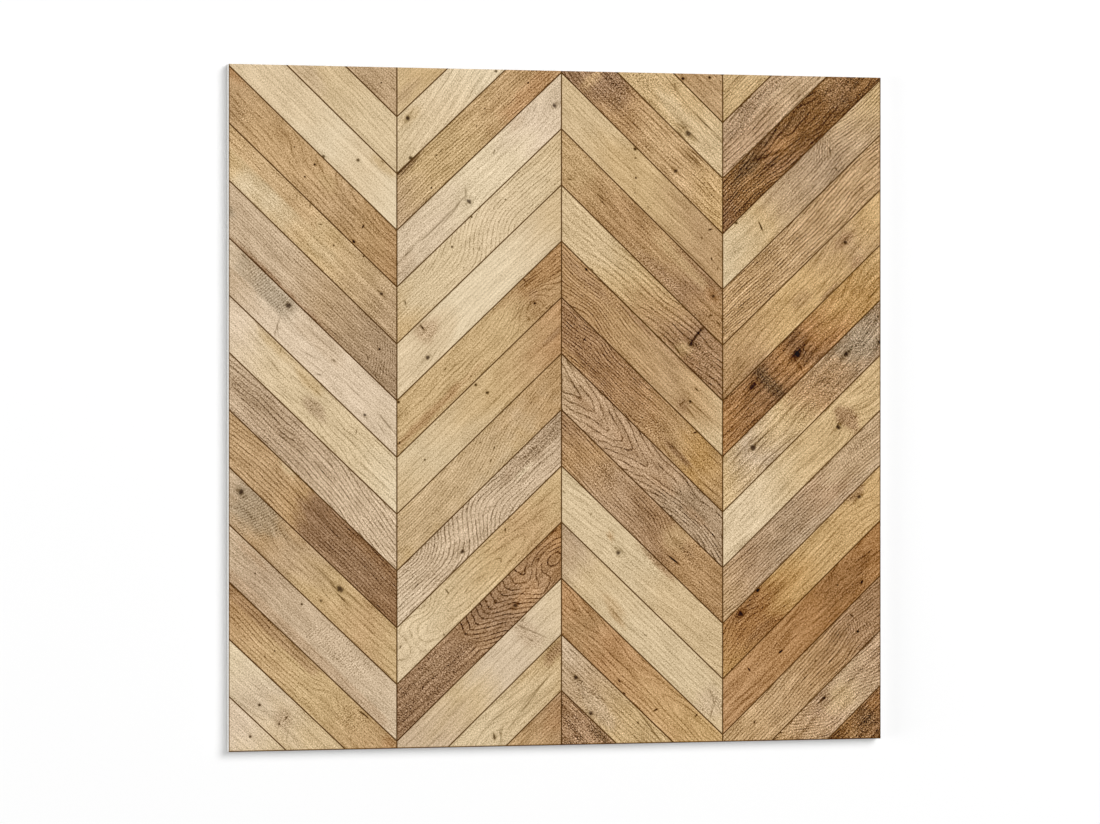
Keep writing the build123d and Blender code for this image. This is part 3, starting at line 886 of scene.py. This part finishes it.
class Graph:
    """The nodes of a material or world, made by short calls that take numbers, colours and values."""

    def __init__(self, name, owners=bpy.data.materials, shader="Principled BSDF"):
        self.owner = owners.new(name)
        self.owner.use_nodes = True
        self.tree = self.owner.node_tree
        self.shader = self.tree.nodes[shader]

    def node(self, kind, inputs=(), output=0, **settings):
        """The value of one output of a new node with these inputs and settings."""
        made = self.tree.nodes.new(kind)
        for key, value in settings.items():
            setattr(made, key, value)
        for key, value in dict(inputs).items():
            self.put(value, made.inputs[key])
        return Value(self, made.outputs[output])

    def put(self, value, socket):
        if isinstance(value, Value):
            self.tree.links.new(value.socket, socket)
        else:
            socket.default_value = value

    def math(self, operation, a, b=0.0):
        return self.node("ShaderNodeMath", {0: a, 1: b}, operation=operation)

    def vector(self, operation, a, b):
        return self.node("ShaderNodeVectorMath", {0: a, 1: b}, operation=operation)

    def length(self, a, b):
        return self.math("SQRT", a * a + b * b)

    def step(self, value, low, high):
        """0 at low, 1 at high and smooth between; high may be below low."""
        inputs = {"Value": value, "From Min": low, "From Max": high}
        return self.node("ShaderNodeMapRange", inputs, interpolation_type="SMOOTHSTEP")

    def attribute(self, name, output="Vector"):
        return self.node("ShaderNodeAttribute", output=output, attribute_name=name)

    def parts(self, vector):
        """The three parts of a vector."""
        split = self.node("ShaderNodeSeparateXYZ", {0: vector}).socket.node
        return [Value(self, socket) for socket in split.outputs]

    def place(self):
        """Where the point is on the object, in metres."""
        return self.node("ShaderNodeTexCoord", output="Object")

    def ray(self, kind):
        """1 to rays of this kind, and 0 to all others."""
        return self.node("ShaderNodeLightPath", output=f"Is {kind} Ray")

    def seen(self):
        """1 to the camera, also in a reflection or through glass, and 0 to the light on the object."""
        seen = self.math("MAXIMUM", self.ray("Camera"), self.ray("Glossy"))
        return self.math("MAXIMUM", seen, self.ray("Transmission"))

    def noise(self, vector, detail=2.0, roughness=0.5, scale=1.0):
        """Noise of about -1 to 1."""
        inputs = {"Vector": vector, "Scale": scale, "Detail": detail, "Roughness": roughness}
        return self.node("ShaderNodeTexNoise", inputs) * 4.0 - 2.0

    def blend(self, factor, a, b):
        return self.node("ShaderNodeMix", {0: factor, 6: a, 7: b}, output=2, data_type="RGBA")

    def bump(self, height, distance, strength):
        inputs = {"Height": height, "Distance": distance, "Strength": strength}
        self.put(self.node("ShaderNodeBump", inputs), self.shader.inputs["Normal"])

    def finish(self, colour, roughness, **constants):
        self.put(colour, self.shader.inputs["Base Color"])
        self.put(roughness, self.shader.inputs["Roughness"])
        for name, value in constants.items():
            self.shader.inputs[name.replace("_", " ")].default_value = value
        return self.owner


def rgba(*rgb):
    """An sRGB colour out of 255 as a linear one with full alpha."""
    return (*linear(rgb), 1.0)


# Display values of the print's darkest inks, before DISPLAY_GAMMA makes them linear
DARKEST = (0.02, 0.02, 0.02)
PIT_INK = (0.10, 0.05, 0.03, 1.0)
# The joint ink is also the painted shade along the lower and right rims and on each joint's upper bevel
JOINT_AND_SHADE_INK = (0.26, 0.15, 0.02, 1.0)


def wood_print():
    """The printed face: growth rings, fibres, pores, cross-grain ripples, knots, cracks and dark joints,
    with painted shade along the lower and right rims.
    """
    g = Graph("wood_print")
    along, fibre, rings = g.parts(g.attribute("grain"))
    ring_depth, streak_depth, flow = g.parts(g.attribute("style"))
    phase, curl, ragged = g.parts(g.attribute("curl"))
    crowded = g.attribute("crowding", "Fac")

    def drawn_out(across, long, wide, detail, roughness=0.5):
        """Noise whose grains are so many millimetres long and wide."""
        place = g.node("ShaderNodeCombineXYZ", {0: along * (1 / long), 1: across * (1 / wide)})
        return g.noise(place, detail, roughness)

    fine = drawn_out(fibre, 12, 0.5, 3, 0.6)
    wide = drawn_out(fibre, 40, 2.2, 2)
    cloud = drawn_out(fibre, 12, 5, 3, 0.6)
    pores = drawn_out(fibre, 2.2, 0.38, 1)
    flecks = drawn_out(fibre, 1.6, 1.3, 2, 0.6)
    grit = drawn_out(fibre, 0.62, 0.55, 1, 0.6)
    threads = drawn_out(flow, 20, 0.55, 3, 0.65)
    worn = drawn_out(flow, 7, 1.6, 2, 0.6)

    # Growth rings: a dark line in the middle of each turn, narrower where the rings crowd
    wobble = cloud * 0.15 + flecks * 0.09 + grit * 0.05
    turn = g.math("FRACT", rings + wobble * crowded)
    crowded = g.math("MAXIMUM", crowded, 0.02)
    half_line = g.math("MINIMUM", crowded ** 0.4 * 0.31, crowded * 0.55)
    line = g.step(abs(turn - 0.5) / half_line, 1.0, 0.1)
    line = line * (worn * 0.8 + flecks * 0.5 + 1.0) - half_line * 1.1
    line = line * (curl * -0.6 + 1.0)

    # Cross-grain ripples
    broken = (flecks + cloud) * (ragged * 0.8 + 0.08)
    ripple = g.math("SINE", (phase + broken) * (2 * pi)) * curl * (cloud * 0.5 + 0.9)

    # The figure is how dark the grain prints: rings, ripples, and a texture of fibres and pores
    texture = threads * 0.28 + fine * 0.32 + wide * 0.24 + cloud * 0.24
    texture = texture + g.step(pores, 0.6, 1.1) * 0.98 + grit * 0.86
    figure = line * ring_depth * 0.78 + texture * streak_depth + ripple * (ragged * 0.25 + 0.32) - 0.06
    figure = g.math("MAXIMUM", figure, figure * 0.7)
    grain = figure

    # Knots, with a halo that is drawn out along the plank, then the worm holes and cracks
    knot_a, knot_b, knot_on = g.parts(g.attribute("knot"))
    knot_edge = g.length(knot_a, knot_b) + flecks * 0.55 + grit * 0.4
    knot_reach = g.length(knot_a * 0.4, knot_b) + fine * 0.3 + flecks * 0.3
    knot_halo = g.step(knot_reach, 2.0, 0.5) * knot_on
    pits = g.step(knot_edge, 1.3, 0.3) * knot_on
    figure = figure + knot_halo * 0.4 + pits * 0.7
    for layer in ("mark", "next_mark"):
        mark_a, mark_b, mark_on = g.parts(g.attribute(layer))
        mark_edge = g.length(mark_a, mark_b) + grit * 0.4 + flecks * 0.3
        mark_halo = g.step(mark_edge, 2.4, 1.0) * mark_on
        mark_core = g.step(mark_edge, 1.4, 0.5) * mark_on
        figure = figure + mark_halo * 0.25 + mark_core * 1.6
        pits = g.math("MAXIMUM", pits, mark_core * mark_core * 0.5)

    # Colour: the figure takes light from the tone, nearly evenly and a little in its own hue
    tone = g.attribute("tone", "Color")
    lightness = g.node("ShaderNodeRGBToBW", {0: tone})
    hue = g.vector("MULTIPLY", tone, g.math("DIVIDE", 1.0, lightness))
    shade = figure * (lightness * -0.34 + 0.48)
    shade = g.vector("MULTIPLY", g.blend(0.15, (1.0, 1.0, 1.0, 1.0), hue), shade)
    printed = g.vector("MAXIMUM", g.vector("SUBTRACT", tone, shade), DARKEST)
    printed = g.blend(pits * 0.52, printed, PIT_INK)
    # Dark joints and seams of the print, with painted shade along the lower and right rims and on each
    # joint's upper bevel
    to_seam, to_shaded_joint, to_shaded_rim = g.parts(g.attribute("dark_lines"))
    to_line_or_shaded_rim = g.math("MINIMUM", g.math("MINIMUM", to_seam, to_shaded_joint), to_shaded_rim)
    joint = g.step(to_line_or_shaded_rim + grit * 0.04, 0.40, 0.16)
    printed = g.blend(joint * 0.82, printed, JOINT_AND_SHADE_INK)
    colour = g.node("ShaderNodeGamma", {0: printed, 1: DISPLAY_GAMMA})

    g.bump((grain + pits * 0.5) * -1.0, 0.03 * MM, 0.4)
    return g.finish(colour, grain * 0.12 + 0.48, Specular_IOR_Level=0.05)


def cut_film():
    """The film's cut edge: the dark print between the clear layer and the core."""
    g = Graph("film_edge")
    mottle = g.noise(g.place(), 3, 0.6, 900)
    colour = g.blend(mottle * 0.25 + 0.5, rgba(96, 78, 62), rgba(138, 118, 98))
    g.bump(mottle, 0.02 * MM, 0.4)
    return g.finish(colour, 0.5)


def white_vinyl():
    """The core's cut edge: matt white with drag lines and filler grains, and a painted dark shade band low
    down in place of the contact shadow at its foot.
    """
    g = Graph("white_vinyl")
    foot_shade_top, foot_shade_solid = 1.0 * MM, 0.8 * MM
    place = g.place()
    stretched = g.node("ShaderNodeMapping", {"Vector": place, "Scale": (300, 300, 5000)})
    drag = g.noise(stretched, 3, 0.6)
    grains = g.noise(place, 2, 0.6, 2600)
    clouds = g.noise(place, 2, 0.5, 60)
    shade = drag * 0.10 + grains * 0.10 + clouds * 0.08 + 0.5
    colour = g.blend(shade, rgba(252, 251, 248), rgba(240, 239, 235))
    colour = g.blend(g.step(grains, 1.1, 1.5), colour, rgba(168, 166, 160))
    # Painted shade: a dark band along the foot of the edge, standing in for the contact shadow there
    height = g.parts(place)[2] + clouds * (0.08 * MM) + grains * (0.06 * MM)
    colour = g.blend(g.step(height, foot_shade_top, foot_shade_solid) * 0.95, colour, rgba(64, 62, 58))
    g.bump(drag + grains * 0.5, 0.03 * MM, 0.5)
    return g.finish(colour, grains * 0.05 + 0.62)


def grey_adhesive():
    """The adhesive's edge: greyish, soft and a little glossy."""
    g = Graph("grey_adhesive")
    ooze = g.noise(g.place(), 3, 0.6, 700)
    colour = g.blend(ooze * 0.25 + 0.5, rgba(66, 64, 60), rgba(92, 90, 85))
    g.bump(ooze, 0.03 * MM, 0.6)
    return g.finish(colour, ooze * 0.05 + 0.35)


def liner_paper():
    """The release liner: calendered paper with faint fibres, cloudy where it is thicker."""
    g = Graph("liner_paper")
    place = g.place()
    machine_way = g.node("ShaderNodeMapping", {"Vector": place, "Scale": (420, 1500, 1500)})
    fibres = g.noise(machine_way, 4, 0.65)
    clouds = g.noise(place, 4, 0.55, 130)
    specks = g.noise(place, 1, 0.5, 1800)
    shade = fibres * 0.12 + clouds * 0.22 + 0.5
    colour = g.blend(shade, rgba(232, 227, 214), rgba(214, 207, 191))
    colour = g.blend(g.step(specks, 1.2, 1.7) * 0.5, colour, rgba(176, 164, 142))
    g.bump(fibres + clouds * 0.6, 0.02 * MM, 0.5)
    return g.finish(colour, fibres * 0.05 + 0.5)


# The tile's pieces
def add_object(name, data):
    """An object with this data, in the scene."""
    made = bpy.data.objects.new(name, data)
    bpy.context.collection.objects.link(made)
    return made


def dress_film():
    """Makes the printed face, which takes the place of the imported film."""
    mesh = film_mesh()
    paint_print(mesh)
    map_print(mesh)
    mesh.transform(Matrix.Scale(MM, 4))
    mesh.materials.append(wood_print())
    mesh.materials.append(cut_film())
    piece = add_object("printed_face", mesh)
    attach(piece, "root")
    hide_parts("printed_film")


def dress_layers():
    """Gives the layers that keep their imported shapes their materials."""
    finishes = {"vinyl_core": white_vinyl, "adhesive_coat": grey_adhesive, "release_liner": liner_paper}
    for node, make in finishes.items():
        material = make()
        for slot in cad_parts[node].material_slots:
            slot.material = material


# The stage: a white floor, an even white room and two large soft lamps
ROOM_LIGHT = 0.40
FLOOR_LIFT = 0.06  # added for the camera alone, so that the floor is white and keeps its shadow
KEY_PLACE = (2.4, 2.0, 4.0)
KEY_SIZE = 3.4
KEY_POWER = 170.0
FILL_PLACE = (-2.6, -0.3, 0.6)
FILL_SIZE = 1.6
FILL_POWER = 26.0


def floor():
    """A white floor a little below the tile."""
    reach, below = 4.0, -0.02 * MM
    ring = ((-reach, -reach), (reach, -reach), (reach, reach), (-reach, reach))
    mesh = bpy.data.meshes.new("floor")
    mesh.from_pydata([(x, y, below) for x, y in ring], [], [(0, 1, 2, 3)])
    g = Graph("floor_white")
    g.put(g.ray("Camera") * FLOOR_LIFT, g.shader.inputs["Emission Strength"])
    colour = g.blend(g.seen(), rgba(222, 222, 222), rgba(255, 255, 255))
    mesh.materials.append(g.finish(colour, 0.9, Emission_Color=(1, 1, 1, 1), Specular_IOR_Level=0.0))
    add_object("floor", mesh)


def room():
    """A white room: its own light on the object, and plain white to the camera and in reflections."""
    g = Graph("room", bpy.data.worlds, "Background")
    strength = g.node("ShaderNodeMapRange", {"Value": g.seen(), "To Min": ROOM_LIGHT, "To Max": 1.0})
    g.put(strength, g.shader.inputs["Strength"])
    g.put((1, 1, 1, 1), g.shader.inputs["Color"])
    bpy.context.scene.world = g.owner


def lamp(name, place, size, power):
    """A round soft lamp that points at the tile."""
    light = bpy.data.lights.new(name, "AREA")
    light.shape = "DISK"
    light.size = size
    light.energy = power
    holder = add_object(name, light)
    holder.location = place
    holder.rotation_euler = Vector(place).to_track_quat("Z", "Y").to_euler()


# The camera: the photograph sees the tile from its left, turned by CAMERA_TURN about the image's upright
CAMERA_TURN = radians(14.77)
IMAGE_WIDTH_PX = 1100
FOCAL_LENGTH_PX = 4195
SENSOR_MM = 36.0
DISTANCE_IN_SIDES = 6.2215  # from the lens plane to the face's centre
SIDEWAYS_IN_SIDES = 0.017  # the face's centre is this far right of the lens axis
UPWARD_IN_SIDES = 0.0059


def camera():
    """The photograph's own view."""
    side = TILE_SIDE * MM
    data = bpy.data.cameras.new("camera")
    data.sensor_width = SENSOR_MM
    data.lens = SENSOR_MM * FOCAL_LENGTH_PX / IMAGE_WIDTH_PX
    data.clip_start, data.clip_end = 0.05, 20
    right = Vector((cos(CAMERA_TURN), 0, sin(CAMERA_TURN)))
    back = Vector((-sin(CAMERA_TURN), 0, cos(CAMERA_TURN)))
    up = Vector((0, 1, 0))
    centre = Vector((0, 0, FACE_HEIGHT * MM))
    eye = centre + side * (DISTANCE_IN_SIDES * back - SIDEWAYS_IN_SIDES * right - UPWARD_IN_SIDES * up)
    shot = add_object("camera", data)
    shot.matrix_world = Matrix.Translation(eye) @ Matrix((right, up, back)).transposed().to_4x4()
    bpy.context.scene.camera = shot


camera()
dress_film()
dress_layers()
floor()
room()
lamp("key", KEY_PLACE, KEY_SIZE, KEY_POWER)
lamp("fill", FILL_PLACE, FILL_SIZE, FILL_POWER)
bpy.context.scene.view_settings.view_transform = "Standard"
